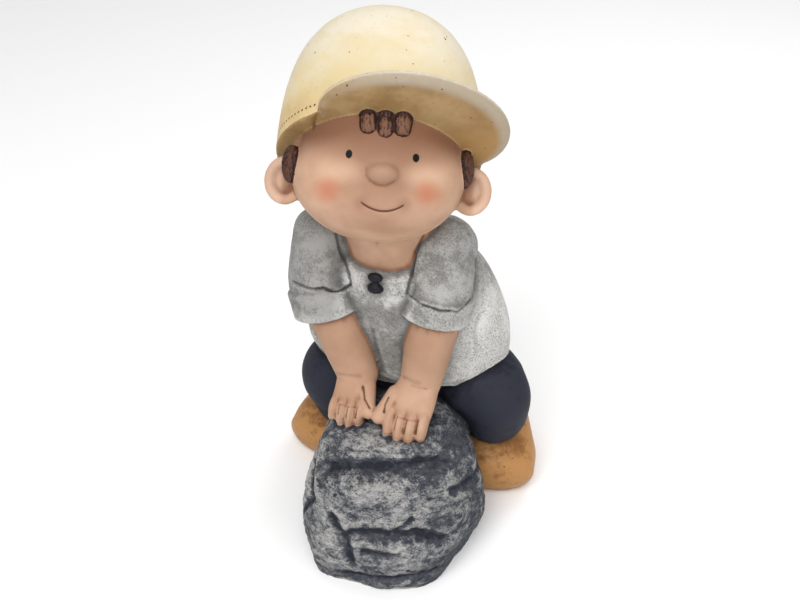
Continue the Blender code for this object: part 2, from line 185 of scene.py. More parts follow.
def tube(stations, across=(1, 0, 0), ends=(1.0, 1.0), sides=24, steps=5, square=2.0):
    """A limb over stations of (x, y, z, half width, half depth). `across` is the way of the width, `ends`
    how far each end bulges as a share of its size, and `square` is 2 for an ellipse and more for a fuller
    form."""
    rows = smooth_rows(stations, steps * FINENESS)
    sides *= FINENESS
    middle, size = rows[:, :3], np.maximum(rows[:, 3:], 0.2)
    along = np.gradient(middle, axis=0)
    along /= np.linalg.norm(along, axis=1)[:, None]
    rounding = np.linspace(0, pi / 2, 5 * FINENESS + 1)[1:-1]
    start, stop = [], []
    for made, end, way in ((start, 0, -1), (stop, -1, 1)):
        reach = ends[0 if end == 0 else 1] * size[end].mean()
        for a in rounding if reach else ():
            made.append((middle[end] + way * along[end] * reach * sin(a), size[end] * cos(a), along[end]))
    angle = np.arange(sides) * 2 * pi / sides
    wide = np.sign(np.cos(angle)) * np.abs(np.cos(angle)) ** (2 / square)
    deep = np.sign(np.sin(angle)) * np.abs(np.sin(angle)) ** (2 / square)
    across = np.array(across, float)
    rings = []
    for point, (half_width, half_depth), way in start[::-1] + list(zip(middle, size, along)) + stop:
        u = unit(across - way * (across @ way))
        v = np.cross(way, u)
        rings.append(point + np.outer(wide * half_width, u) + np.outer(deep * half_depth, v))
    return skin(np.array(rings))


def ball(place, middle, radii, sides=28, low=None, square=2.0):
    """An egg in a place: middle and radii run left, front and up, and `low` is another radius downwards."""
    rings = []
    sides *= FINENESS
    for a in np.linspace(-pi / 2, pi / 2, 16 * FINENESS + 1)[1:-1]:
        height = sin(a) * (low if low and a < 0 else radii[2])
        share = (1 - abs(sin(a)) ** square) ** (1 / square)
        ring = []
        for b in np.arange(sides) * 2 * pi / sides:
            left = middle[0] + radii[0] * share * cos(b)
            front = middle[1] - radii[1] * share * sin(b)
            ring.append(place.at(left, front, middle[2] + height))
        rings.append(ring)
    return skin(np.array(rings))


def bulged(form, place, bumps):
    """The form with soft bumps on it. Each has its middle in a place, how far it spreads and how far it
    stands out; one that stands out by less than nothing is a hollow."""
    points, faces = form
    away = np.array(points) - place.origin
    out = away / np.linalg.norm(away, axis=1)[:, None]
    moved = np.array(points)
    for middle, spread, height in bumps:
        far = np.linalg.norm(np.array(points) - place.at(*middle), axis=1) / spread
        moved += out * (height * np.exp(-(far**2)))[:, None]
    return moved, faces


def hoop(place, middle, half_width, half_height, thick, tilt=0.0):
    """A ring of round section in a place, in its left-up plane turned by `tilt` degrees about its left."""
    points, faces = [], []
    around, through = 32 * FINENESS, 10 * FINENESS
    c, s = cos(radians(tilt)), sin(radians(tilt))
    for i in range(around):
        a = i * 2 * pi / around
        x, z = half_width * cos(a), half_height * sin(a)
        for j in range(through):
            b = j * 2 * pi / through
            out = thick * cos(b)
            height = z + out * sin(a)
            depth = thick * sin(b)
            left = middle[0] + x + out * cos(a)
            front = middle[1] + depth * c + height * s
            points.append(place.at(left, front, middle[2] + height * c - depth * s))
            k, m = (i + 1) % around, (j + 1) % through
            faces.append((i * through + j, i * through + m, k * through + m, k * through + j))
    return np.array(points), faces


# Cuts in the boulder that the hands rest on: how wide and deep each is, and the points that it runs
# through, as shares of the boulder's half width, half depth and height
ROCK_CUTS = (
    (6.5, 10, ((-0.42, -1.12, 0.80), (0.05, -1.10, 0.86), (0.45, -0.99, 0.88), (0.88, -0.72, 0.88))),
    (4.5, 6.5, ((0.02, -1.60, 0.48), (0.35, -1.58, 0.52), (0.78, -1.46, 0.52), (1.00, -1.25, 0.42))),
    (3.5, 4, ((0.20, -1.63, 0.37), (0.62, -1.58, 0.40))),
    (4.5, 6, ((-0.25, -1.52, 0.54), (-0.02, -1.58, 0.43), (0.08, -1.65, 0.25))),
    (4.5, 5, ((0.00, -1.66, 0.10), (0.62, -1.62, 0.16), (0.98, -1.38, 0.15))),
    (4, 5, ((-0.66, -1.00, 0.74), (-0.56, -1.32, 0.55), (-0.62, -1.20, 0.38))),
    (3, 4, ((0.56, -1.50, 0.55), (0.68, -1.35, 0.62))),
    (4.5, 5, ((1.02, -0.95, 0.72), (1.18, -0.50, 0.62), (1.12, -0.10, 0.66))),
    (4.5, 5, ((-0.72, -0.30, 0.42), (-0.76, -0.70, 0.36), (-0.70, -1.10, 0.22))),
)


def beside(points, stops):
    """How far aside of straight stretches between stops each point lies, and its way into the boulder. How
    far inside or outside of the stretches it lies doesn't matter, up to CUT_REACH."""
    inwards = (ROCK_HEART - points) * (1, 1, 0.3)
    inwards /= np.linalg.norm(inwards, axis=1)[:, None]
    away = np.full(len(points), np.inf)
    for a, b in zip(stops, stops[1:]):
        t = np.clip((points - a) @ (b - a) / ((b - a) @ (b - a)), 0, 1)
        gap = points - a - t[:, None] * (b - a)
        inside = (gap * inwards).sum(1)
        aside = np.linalg.norm(gap - inside[:, None] * inwards, axis=1)
        away = np.where(np.abs(inside) < CUT_REACH, np.minimum(away, aside), away)
    return away, inwards


def boulder(origin, wide, deep, high, cuts=()):
    """A boulder over the origin given; its sizes are half width, half depth and height."""
    # middle x and y, height, half width and half depth, as shares of the boulder's own sizes
    layers = smooth_rows(
        [
            (0.22, -0.67, -0.06, 0.86, 0.92),
            (0.22, -0.68, 0.10, 0.93, 0.99),
            (0.23, -0.67, 0.34, 1.00, 0.99),
            (0.22, -0.60, 0.58, 0.96, 0.90),
            (0.18, -0.50, 0.79, 0.86, 0.79),
            (0.11, -0.38, 0.90, 0.74, 0.66),
            (0.07, -0.33, 0.98, 0.62, 0.55),
            (0.05, -0.30, 1.01, 0.42, 0.38),
        ],
        9 * FINENESS,
    )
    rings = []
    for x, y, z, half_width, half_depth in layers:
        ring = []
        for a in np.linspace(0, 2 * pi, 72 * FINENESS, endpoint=False):
            grown = 1 + 0.03 * sin(3 * a + 1.1) + 0.022 * sin(5 * a + 4 * z) + 0.015 * cos(9 * a - 3 * z)
            corner = (abs(cos(a)) ** ROCK_SQUARE + abs(sin(a)) ** ROCK_SQUARE) ** (-1 / ROCK_SQUARE)
            left = origin[0] + wide * (x + half_width * grown * corner * cos(a))
            back = origin[1] + deep * (y + half_depth * grown * corner * sin(a))
            ring.append((left, back, high * z))
        rings.append(ring)
    points, faces = skin(np.array(rings))
    for half, depth, stops in cuts:
        away, inwards = beside(points, np.array(stops) * ROCK_HALF)
        points = points + inwards * (depth * np.exp(-((away / half) ** 2)))[:, None]
    return points, faces


def rock():
    """The boulder that the hands rest on, and its lower back between the boy's feet."""
    return [
        boulder((0, 0), *ROCK_HALF, ROCK_CUTS),
        boulder(BACK_ROCK, *(ROCK_HALF * BACK_ROCK_SIZE)),
    ]


def trousers():
    made = [tube([(0, 60, 88, 62, 40), (0, 58, 112, 84, 50), (0, 54, 140, 94, 56), (0, 52, 168, 90, 52)])]
    for side, knee, end in zip(SIDES, KNEES, LEG_ENDS):
        rise = (end - LEG_END) * 0.6
        leg = [
            (side * 46, 56, 136, 42, 44),
            (knee - side * 14, 40, 124 + rise / 2, 43, 43),
            (knee, 31, 112 + rise, 41, 41 - rise / 2),
            (knee + side * 2, 42, 88 + rise, 37, 38),
            (knee, 50, end, 35, 36),
        ]
        made.append(tube(leg, ends=(0.5, 0.2)))
    return made


def shoes():
    made = []
    for side, foot, high in zip(SIDES, FEET, SHOE_HEIGHTS):
        way = Place((foot, 74, 0), side * SHOE_TURN)
        # along the foot from heel to toe: forwards, height of the middle, half width and half height
        sole = [(-42, 30, 30, 32), (-22, 33, 34, 36), (4, 31, 37, 35), (28, 24, 40, 28), (46, 19, 37, 23)]
        rows = []
        for forwards, height, width, up in sole:
            rows.append((*way.at(0, forwards, height * high), width, up * high))
        made.append(tube(rows, way.left, ends=(0.5, 0.55), square=2.3))
    return made


def shirt():
    trunk = [
        (0, 50, 152, 101, 62),
        (0, 48, 166, 105, 65),
        (0, 42, 200, 103, 64),
        (-2, 24, 245, 93, 60),
        (-4, 6, 276, 76, 50),
        (-4, -1, 293, 54, 41),
    ]
    made = [tube(trunk, ends=(0.08, 0.1), sides=36)]
    for shoulder, elbow, cuff in (
        ((-66, -2, 299), (-66, -18, 258), (-57, -24, 226)),
        ((46, 5, 300), (49, -8, 264), (45, -14, 235)),
    ):
        made.append(tube([(*shoulder, 29, 34), (*elbow, 30, 33), (*cuff, 29, 30)], ends=(0.8, 0.2)))
        top = np.array(cuff) * 0.25 + np.array(elbow) * 0.75
        made.append(tube([(*top, 34, 35), (*cuff, 33, 33)], ends=(0.12, 0.12)))
    shoulders = [(-60, 6, 292, 29, 29), (-4, 14, 292, 32, 34), (48, 10, 296, 29, 29)]
    made.append(tube(shoulders, across=(0, 0, 1)))
    made.append(hoop(BODY, (0, -50, 160), 100, 61, HEM_THICK, tilt=90))
    return made


def buttons():
    return [ball(BODY, middle, BUTTON) for middle in BUTTONS]


def finger_line(arm, number):
    """Where a finger runs: its root, its bend over the edge and its end. Number 0 is the hand's middle."""
    slip = np.array([number * arm["pitch"], abs(number) * 2, 0])
    root = np.array(arm["palm"]) * 0.4 + np.array(arm["knuckle"]) * 0.6 + slip * (0.9, 1, 1) - (0, 0, 1.5)
    bend = np.array(arm["knuckle"]) + slip + (0, -6, -1)
    end = np.array(arm["tip"]) + slip + (0, 0, abs(abs(number) - 0.5) * 2)
    return root, bend, end


def hand(arm):
    """A hand laid flat, with the fingers bent down over the edge."""
    wide = arm["pitch"] / 2
    palm = [(*arm["wrist"], 19, 18), (*arm["palm"], wide * 4.1, 14), (*arm["knuckle"], wide * 4, 9)]
    made = [tube(palm, ends=(0.3, 0.3), square=2.4)]
    for number in (-1.5, -0.5, 0.5, 1.5):
        root, bend, end = finger_line(arm, number)
        finger = [(*root, wide, 8), (*bend, wide, 10.5), (*end, wide, 9)]
        made.append(tube(finger, sides=16))
    root, end = arm["thumb"]
    made.append(tube([(*root, 9, 9), (*end, 7, 8)], sides=14))
    return made


def arms():
    """Straight arms down to the hands, which lie side by side on the boulder with the thumbs together."""
    made = []
    for arm in ARMS:
        elbow, wrist = arm["elbow"], arm["wrist"]
        middle = (np.array(elbow) + wrist) / 2
        made.append(tube([(*elbow, 25, 25), (*middle, 23, 23), (*wrist, 20, 19)]))
        made += hand(arm)
    return made


def head():
    made = [
        tube([(-4, 8, 280, 44, 38), (-3, 4, 306, 45, 38), (0, -6, 345, 46, 40)]),
        ball(HEAD, (FACE_LEFT, 67, -12), (13.5, 11, 9)),
    ]
    bumps = [((FACE_LEFT, 58, -44), 18, 3), ((FACE_LEFT, 58, 30), 26, 3)]
    for side in SIDES:
        bumps.append(((side * 52, 38, -20), 27, 9))
        bumps.append(((FACE_LEFT + side * 26, 62, 3), 11, -2))
        made.append(ball(HEAD, (side * 76, 4, -14), (18, 7, 16)))
        made.append(hoop(HEAD, (side * 79, 8, -15), 13, 16, 4.8))
    width, depth, chin = HEAD_HALF
    skull = ball(HEAD, (0, 0, 0), (width, depth, SKULL_TOP), sides=44, low=chin, square=2.15)
    made.append(bulged(skull, HEAD, bumps))
    return made


def hair():
    made = [ball(HEAD, (0, -22, 12), (74, 60, 66))]
    for lock, low in ((-1, 20), (0, 17), (1, 20)):
        made.append(ball(HEAD, (FACE_LEFT + lock * 14, 62, low + 20), (7.5, 10, 20), square=3.4))
    for side, front, up in ((-1, 32, -4), (1, 24, 1)):
        made.append(ball(HEAD, (side * 72, front, up), (8, 10, 16)))
    return made


def crown():
    """The cap's crown over its opening, with a rim band."""
    width, depth = CAP_HALF
    rings = []
    rise = HEAD.at(*CAP_TOP) - HEAD.origin
    for a in np.linspace(0, pi / 2, 14 * FINENESS + 1)[:-1]:
        share = (1 - sin(a) ** CAP_SQUARE) ** (1 / CAP_SQUARE)
        ring = []
        for b in np.linspace(0, 2 * pi, 48 * FINENESS, endpoint=False):
            front = -depth * share * sin(b) * (CAP_BACK if sin(b) > 0 else 1)
            ring.append(CAP.at(width * share * cos(b), front, -RIM_DROP) + rise * sin(a))
        rings.append(ring)
    return skin(np.array(rings))


def visor():
    """A plate from the cap's rim, longest where it is turned to and curved up at its middle."""
    width, depth = CAP_HALF
    level = VISOR_THICK / 2 - RIM_DROP
    rings = []
    for middle in np.linspace(-1, 1, 24 * FINENESS + 1):
        a = VISOR_TURN + VISOR_SPAN * middle
        length = VISOR_LENGTH * max(1 - abs(middle) ** 2.3, 0) ** 0.8
        lift = VISOR_LIFT * max(1 - middle**2, 0)
        top, under = [], []
        for t in np.linspace(-0.4, 1, 14 * FINENESS + 1):
            reach = max(length, 1) * t if t > 0 else 30 * t
            edge = max(1 - (max(length, 1) - reach) / VISOR_THICK, 0)
            half = VISOR_THICK / 2 * (1 - 0.9 * edge**2) ** 0.5
            x, y = (width + reach) * sin(radians(a)), (depth + reach) * cos(radians(a))
            top.append(CAP.at(x, y, level + lift * max(t, 0) ** 1.3 + half))
            under.append(CAP.at(x, y, level + lift * max(t, 0) ** 1.3 - half))
        rings.append(top + under[::-1])
    return skin(np.array(rings))


def cap():
    return [crown(), visor()]


def fringe_ends():
    """The full, round ends of the three locks on the forehead."""
    made = []
    for lock, low in ((-1, 20), (0, 17), (1, 20)):
        made.append(ball(HEAD, (FACE_LEFT + lock * 13.2, 65.5, low + 7.5), (7.3, 8.5, 9), square=2.8))
    return made


# The zones of paint, each with the forms that carry it
ZONES = {
    "rock": rock,
    "trousers": trousers,
    "shoes": shoes,
    "shirt": shirt,
    "buttons": buttons,
    "skin": lambda: arms() + head(),
    "hair": lambda: hair() + fringe_ends(),
    "crown": lambda: [crown()],
    "visor": lambda: [visor()],
}

# The camera stands where the photograph's stood
CAMERA_PLACE = Vector((0.292, -0.877, 0.834))
CAMERA_AIM = Vector((0.007, 0, 0.235))
CAMERA_TURN = (CAMERA_AIM - CAMERA_PLACE).to_track_quat("-Z", "Y")
CAMERA_LENS = 51.975
SENSOR = 36.0  # how wide it is, in mm
PHOTO_WIDTH, PHOTO_HEIGHT = 800, 600
FOCAL = PHOTO_WIDTH * CAMERA_LENS / SENSOR  # in the photograph's pixels

LIGHTS_AIM = Vector((0, 0, 0.25))

FAR = 12.0  # distances from a form are measured up to this far, in units
NOISE_ROUGH, NOISE_GAP = 0.9, 2.1  # how rough the carving's noise is, and how much finer each octave is
CUT_PAINT = 0.30  # how far the dark paint and painted shade reach from a cut, in units for a cut one unit wide and deep
SOLE_LINE = 0.0075  # how high the line round the soles is, in metres
STITCH_LEVEL = 9  # how far the row of stitch holes is above the cap's rim, in units
STITCH_STEP = 3.1  # from one stitch hole to the next, in degrees round the cap
STITCH_GAP = 4.7  # the same in units

# The face, in the head's own left and up, in units
EYES = ((-23.2, 2.5), (30.5, 2.9))
MOUTH_MIDDLE = (5.8, -40.8)
MOUTH_HALF = 17.5
MOUTH_RISE = 6.0
FACE_SOFTENING = 6  # how often the face's surface is evened out
BLUSH = ((-39.5, -26), (41.5, -24))

# Creases where the photograph shows them: how wide and deep each is in units, how dark its paint, and its
# stops in the photograph's pixels
# The dark paint along each crease is dark wash with painted shade in the fold.
CREASES = {
    "right thumb": (1.6, 2.0, 0.9, ((363, 387), (364, 399), (370, 408))),
    "left thumb": (1.6, 2.0, 0.9, ((388, 397), (385, 404), (384, 412))),
    "right wrist": (3.0, 1.0, 0.22, ((336, 374), (348, 376), (361, 377))),
    "left wrist": (3.4, 1.0, 0.24, ((403, 377), (411, 381), (419, 384))),
    "left wrist, lower": (2.6, 0.8, 0.18, ((412, 386), (419, 388), (426, 389))),
    "right armhole": (2.2, 1.6, 0.5, ((337, 234), (340, 248), (345, 262), (349, 275), (350, 284))),
    "left armhole": (2.0, 1.6, 0.5, ((424, 236), (416, 252), (412, 272), (407, 294))),
    "right cuff": (1.6, 1.5, 0.6, ((293, 281), (300, 285), (309, 288), (316, 289))),
    "right roll": (2.1, 1.9, 0.95, ((316, 289), (323, 288), (331, 291), (338, 291), (344, 289), (350, 285))),
    "left cuff": (1.4, 1.3, 0.6, ((410, 296), (416, 300), (422, 305))),
    "left roll": (2.1, 1.9, 0.95, ((422, 305), (431, 308), (441, 311), (450, 311))),
    "left cuff, end": (1.4, 1.3, 0.6, ((450, 311), (458, 312), (465, 306), (471, 299))),
    "side fold": (3.0, 1.0, 0.15, ((479, 316), (474, 334), (478, 352))),
    "front fold": (3.0, 0.9, 0.15, ((372, 330), (378, 352), (384, 372))),
    "cap, where the visor starts": (1.8, 1.3, 0.7, ((318, 108), (316, 117), (313, 128))),
    "nose": (1.8, 0.8, 0.35, ((370, 181), (376, 185), (386, 186), (394, 182))),
    "nose, right side": (1.8, 0.6, 0.2, ((366, 168), (366, 176), (370, 181))),
}

# Fine cracks in the boulder's front: how wide and deep each is, and its stops in units
CRACKS = (
    (1.6, 1.6, ((-26, -84, 116), (-12, -88, 114), (2, -86, 116))),
    (1.4, 1.3, ((8, -84, 117), (24, -83, 116), (37, -78, 117))),
    (1.5, 1.6, ((49, -134, 68), (57, -122, 76))),
    (1.6, 1.5, ((-40, -118, 88), (-22, -122, 84), (-6, -118, 88))),
    (1.4, 1.3, ((60, -112, 92), (76, -96, 86), (84, -84, 92))),
    (1.5, 1.4, ((84, -104, 52), (92, -88, 44), (97, -70, 50))),
    (1.5, 1.4, ((-42, -128, 40), (-28, -140, 34), (-14, -146, 36))),
    (1.5, 1.4, ((24, -148, 30), (44, -147, 34), (62, -141, 30))),
)


def joined(forms):
    """The points and faces of several forms as those of one."""
    faces, count = [], 0
    for points, form_faces in forms:
        faces += [tuple(count + corner for corner in face) for face in form_faces]
        count += len(points)
    return np.vstack([points for points, _ in forms]), faces


def tree_of(forms):
    points, faces = joined(forms)
    return BVHTree.FromPolygons(points.tolist(), faces)


def rows_of(mesh, field="co"):
    """The mesh's points, or their normals, as rows of numbers."""
    flat = np.empty(len(mesh.vertices) * 3, np.float32)
    mesh.vertices.foreach_get(field, flat)
    return flat.reshape(-1, 3).astype(float)


def distances(points, trees):
    """How far each point is from each zone's forms, in units, and FAR where it is farther than that."""
    rows = [tuple(point) for point in points / UNIT]
    table = {}
    for name, tree in trees.items():
        found = [tree.find_nearest(row, FAR)[3] for row in rows]
        table[name] = np.array([FAR if away is None else away for away in found])
    return table


def softened(points, edges, times):
    """The rows of numbers after evening each out with its neighbours' so many times."""
    count = np.bincount(edges.ravel(), minlength=len(points))[:, None]
    for _ in range(times):
        total = np.zeros_like(points)
        for axis in range(points.shape[1]):
            total[:, axis] = np.bincount(edges[:, 0], points[edges[:, 1], axis], len(points))
            total[:, axis] += np.bincount(edges[:, 1], points[edges[:, 0], axis], len(points))
        points = (points + total / count) / 2
    return points


def edges_of(mesh):
    flat = np.empty(len(mesh.edges) * 2, np.int32)
    mesh.edges.foreach_get("vertices", flat)
    return flat.reshape(-1, 2)


def in_place(points, place):
    """The points as left, front and up in a place, in units."""
    away = points / UNIT - place.origin
    return np.stack([away @ place.left, away @ place.front, away @ place.up], 1)


def share(value, low, high):
    """0 below low and 1 above high, smooth between."""
    t = np.clip((value - low) / (high - low), 0, 1)
    return t * t * (3 - 2 * t)


def band(value, middle, half):
    """1 at the middle, falling smoothly to 0 at half to either side."""
    return share(np.abs(value - middle), half, 0)


def noise_of(points, size, stretch=(1, 1, 1), octaves=4, ridged=False):
    """Noise at the points, with features of about `size` units."""
    rows = points / UNIT / size * np.array(stretch)
    settings = (NOISE_ROUGH, NOISE_GAP, octaves, 1.0, 2.0) if ridged else (NOISE_ROUGH, NOISE_GAP, octaves)
    kind = noise.ridged_multi_fractal if ridged else noise.fractal
    return np.array([kind(Vector(row), *settings) for row in rows])


def groove(points, stops, half, deep):
    """How deep a groove along straight stretches between stops cuts each point."""
    depth = np.zeros(len(points))
    for a, b in zip(stops, stops[1:]):
        a, b = np.array(a, float), np.array(b, float)
        t = np.clip((points - a) @ (b - a) / ((b - a) @ (b - a)), 0, 1)
        away = np.linalg.norm(points - a - t[:, None] * (b - a), axis=1)
        depth = np.maximum(depth, deep * np.clip(1 - (away / half) ** 2, 0, 1))
    return depth


def ray(x, y):
    """The way from the camera through a pixel of the photograph."""
    return CAMERA_TURN @ Vector((x - PHOTO_WIDTH / 2, PHOTO_HEIGHT / 2 - y, -FOCAL)).normalized()


def traced(tree, stops):
    """Points in units on the surface along a line drawn through stops in the photograph."""
    made = []
    stops = np.array(stops, float)
    for a, b in zip(stops, stops[1:]):
        for t in np.linspace(0, 1, max(int(np.hypot(*(b - a))), 2)):
            hit = tree.ray_cast(CAMERA_PLACE, ray(*(a + t * (b - a))))[0]
            if hit is not None:
                made.append(np.array(hit) / UNIT)
    return np.array(made)


def pixel(point):
    """Where in the photograph a point in units is seen."""
    here = CAMERA_TURN.inverted() @ (Vector(point) * UNIT - CAMERA_PLACE)
    return PHOTO_WIDTH / 2 - FOCAL * here.x / here.z, PHOTO_HEIGHT / 2 + FOCAL * here.y / here.z


def finger_creases():
    """Grooves between the fingers, and one across their roots."""
    made = []
    for arm in ARMS:
        for number in (-1, 0, 1):
            root, bend, end = finger_line(arm, number)
            made.append((1.5, 1.4, 0.8, (pixel(bend * 0.8 + root * 0.2), pixel(bend), pixel(end))))
        across = [finger_line(arm, number) for number in (-1, 0, 1)]
        made.append((1.2, 0.4, 0.4, [pixel(bend * 0.8 + root * 0.2) for root, bend, end in across]))
    return made


def creased(mesh):
    """How deep the creases are at each point, how far the nearest is in its own widths, and how dark its
    wash and painted shade are.
    """
    faces = [polygon.vertices[:] for polygon in mesh.polygons]
    tree = BVHTree.FromPolygons([vertex.co[:] for vertex in mesh.vertices], faces)
    points = rows_of(mesh) / UNIT
    depth, nearest, crease_wash_and_shade = np.zeros(len(points)), np.full(len(points), FAR), np.zeros(len(points))
    for half, deep, dark, stops in list(CREASES.values()) + finger_creases():
        line = traced(tree, stops)
        reach = np.ptp(line, axis=0).max() + FAR
        near = np.flatnonzero(np.linalg.norm(points - line.mean(0), axis=1) < reach)
        away = np.full(len(near), np.inf)
        for spot in line:
            away = np.minimum(away, np.linalg.norm(points[near] - spot, axis=1))
        depth[near] = np.maximum(depth[near], deep * share(away, half * 1.5, 0))
        closer = away / half < nearest[near]
        nearest[near] = np.where(closer, away / half, nearest[near])
        crease_wash_and_shade[near] = np.where(closer, dark, crease_wash_and_shade[near])
    return depth, nearest, crease_wash_and_shade


def weights(away):
    """How much of each zone's carving a point takes: none at the zone's border, all a little inside it."""
    names = list(away)
    table = np.stack([away[name] for name in names])
    nearest = table.argmin(0)
    made = {}
    for i, name in enumerate(names):
        others = np.delete(table, i, axis=0).min(0)
        made[name] = np.where(nearest == i, share(others - table[i], 0, 2.5), 0)
    return made


def from_cuts(points):
    """How far each point is from the boulder's cuts, as a share of how far their dark paint and painted
    shade reach.
    """
    nearest = np.full(len(points), FAR)
    here = np.flatnonzero(points[:, 2] < ROCK_HALF[2] + FAR)
    for half, depth, stops in ROCK_CUTS:
        away = beside(points[here], np.array(stops) * ROCK_HALF)[0]
        nearest[here] = np.minimum(nearest[here], away / (half * depth * CUT_PAINT))
    nearest[here] += 0.45 * noise_of(points[here] * UNIT, 8, (1, 1, 1.5), 4)
    return nearest


def carved_rock(points):
    broad = noise_of(points, 44, (1, 1, 1.5), 2)
    layers = noise_of(points, 34, (1, 1, 2.2), 4, ridged=True)
    rough = noise_of(points, 11, (1, 1, 1.9), 4)
    cracks = sum(groove(points / UNIT, stops, half, deep) for half, deep, stops in CRACKS)
    fine = noise_of(points, 4.5, (1, 1, 1.6), 3)
    return 2.0 * broad + 0.7 * (layers - 1.2) + 0.95 * rough + 0.35 * fine - cracks


def carved_cloth(points):
    return 0.8 * noise_of(points, 30, (1, 1, 0.6), 2) + 0.25 * noise_of(points, 8, (1, 1, 1), 3)


def carved(mesh, trees):
    """Moves the fused surface's points for ledges, creases, locks of hair and the mouth."""
    points, out = rows_of(mesh), rows_of(mesh, "normal")
    weight = weights(distances(points, trees))
    depth, nearest, crease_wash_and_shade = creased(mesh)
    face = in_place(points, HEAD)
    nose = np.exp(-(((face[:, 0] - FACE_LEFT) / 16) ** 2) - ((face[:, 2] + 12) / 14) ** 2)
    calm = weight["skin"] * share(face[:, 1], 22, 34) * (1 - 0.7 * nose)
    points += (softened(points, edges_of(mesh), FACE_SOFTENING) - points) * calm[:, None]
    move = -depth

    for name, much in (("rock", 1.0), ("shirt", 1.0), ("trousers", 0.6), ("crown", 0.4), ("shoes", 0.4)):
        here = np.flatnonzero(weight[name] > 0)
        relief = carved_rock if name == "rock" else carved_cloth
        move[here] += much * relief(points[here]) * weight[name][here]

    curve = MOUTH_MIDDLE[1] + MOUTH_RISE * ((face[:, 0] - MOUTH_MIDDLE[0]) / MOUTH_HALF) ** 2
    ends = share(MOUTH_HALF - np.abs(face[:, 0] - MOUTH_MIDDLE[0]), -1, 3)
    move -= 1.2 * band(face[:, 2] - curve, 0, 1.9) * ends * weight["skin"] * (face[:, 1] > 30)

    here = np.flatnonzero(weight["hair"] > 0)
    strands = np.sin(face[here, 0] * 2.3 + 1.6 * face[here, 1] + 2.8 * np.sin(face[here, 2] * 0.2))
    move[here] += 0.35 * strands * weight["hair"][here]

    points += out * (move * UNIT)[:, None]
    write_on(mesh, "from_crease", nearest)
    write_on(mesh, "crease_wash_and_shade", crease_wash_and_shade)
    mesh.vertices.foreach_set("co", points.astype(np.float32).ravel())
    mesh.update()


def write_on(mesh, name, values):
    """Writes a number, or three, on each point of the mesh."""
    kind, field = ("FLOAT_VECTOR", "vector") if values.size > len(mesh.vertices) else ("FLOAT", "value")
    layer = mesh.attributes.new(name, kind, "POINT")
    layer.data.foreach_set(field, values.astype(np.float32).ravel())


def measured(mesh, trees):
    """Writes on each point what its paint needs to know."""
    points, out = rows_of(mesh), rows_of(mesh, "normal")
    edges = edges_of(mesh)
    for name, values in distances(points, trees).items():
        write_on(mesh, "from_" + name, softened(values[:, None], edges, 1))
    fine = softened(points, edges, 5)
    wide = softened(fine, edges, 30)
    for name, even, times in (("hollow", fine, 1), ("valley", wide, 3)):
        sunk = ((even - points) * out).sum(1)[:, None] / UNIT
        write_on(mesh, name, softened(sunk, edges, times))
    write_on(mesh, "from_cut", from_cuts(points / UNIT))
    write_on(mesh, "face", in_place(points, HEAD))
    cap = in_place(points, CAP)
    angle = np.degrees(np.arctan2(cap[:, 0] / CAP_HALF[0], cap[:, 1] / CAP_HALF[1]))
    turn = (angle - VISOR_TURN) / VISOR_SPAN
    length = VISOR_LENGTH * np.clip(1 - np.abs(turn) ** 2.3, 0, 1) ** 0.8
    wide, deep = CAP_HALF
    opening = np.hypot(wide * np.sin(np.radians(angle)), deep * np.cos(np.radians(angle)))
    reach = np.hypot(cap[:, 0], cap[:, 1]) - opening
    write_on(mesh, "rim", np.stack([angle, cap[:, 2] + RIM_DROP, length - reach], 1))


def placed(name, data, place=(0, 0, 0), turn=Quaternion()):
    """A new object in the scene, at a place and turned by a quaternion."""
    made = bpy.data.objects.new(name, data)
    made.location = place
    made.rotation_euler = turn.to_euler()
    bpy.context.scene.collection.objects.link(made)
    return made


def plain_material(name):
    """A new material and its shader."""
    material = bpy.data.materials.new(name)
    material.use_nodes = True
    return material, material.node_tree.nodes["Principled BSDF"]


def applied(obj):
    """Applies the modifiers of obj."""
    graph = bpy.context.evaluated_depsgraph_get()
    mesh = bpy.data.meshes.new_from_object(obj.evaluated_get(graph))
    obj.modifiers.clear()
    old = obj.data
    obj.data = mesh
    bpy.data.meshes.remove(old)


def stand(obj):
    """Cuts obj flat at the ground."""
    shape = bmesh.new()
    shape.from_mesh(obj.data)
    everything = shape.verts[:] + shape.edges[:] + shape.faces[:]
    ground = {"plane_co": (0, 0, 0), "plane_no": (0, 0, -1)}
    cut = bmesh.ops.bisect_plane(shape, geom=everything, **ground, clear_outer=True)["geom_cut"]
    bmesh.ops.holes_fill(shape, edges=[item for item in cut if isinstance(item, bmesh.types.BMEdge)])
    bmesh.ops.triangulate(shape, faces=shape.faces[:])
    shape.to_mesh(obj.data)
    shape.free()


def sculpted(name):
    """The statue: all its forms fused, carved, cut flat at the ground and measured for its paint."""
    forms = {zone: make() for zone, make in ZONES.items()}
    trees = {zone: tree_of(made) for zone, made in forms.items()}
    points, faces = joined([form for made in forms.values() for form in made])
    mesh = bpy.data.meshes.new(name)
    mesh.from_pydata((points * UNIT).tolist(), [], faces)
    obj = placed(name, mesh)
    grain = obj.modifiers.new("Fuse", "REMESH")
    grain.mode = "VOXEL"
    grain.voxel_size = FINE_GRAIN
    smooth = obj.modifiers.new("Smooth", "SMOOTH")
    smooth.factor = 0.5
    smooth.iterations = 2
    applied(obj)
    carved(obj.data, trees)
    stand(obj)
    faces = sum(len(polygon.vertices) - 2 for polygon in obj.data.polygons)
    if faces > MOST_FACES:
        thin = obj.modifiers.new("Thin", "DECIMATE")
        thin.ratio = MOST_FACES / faces
        applied(obj)
    obj.data.shade_smooth()
    measured(obj.data, trees)
    return obj


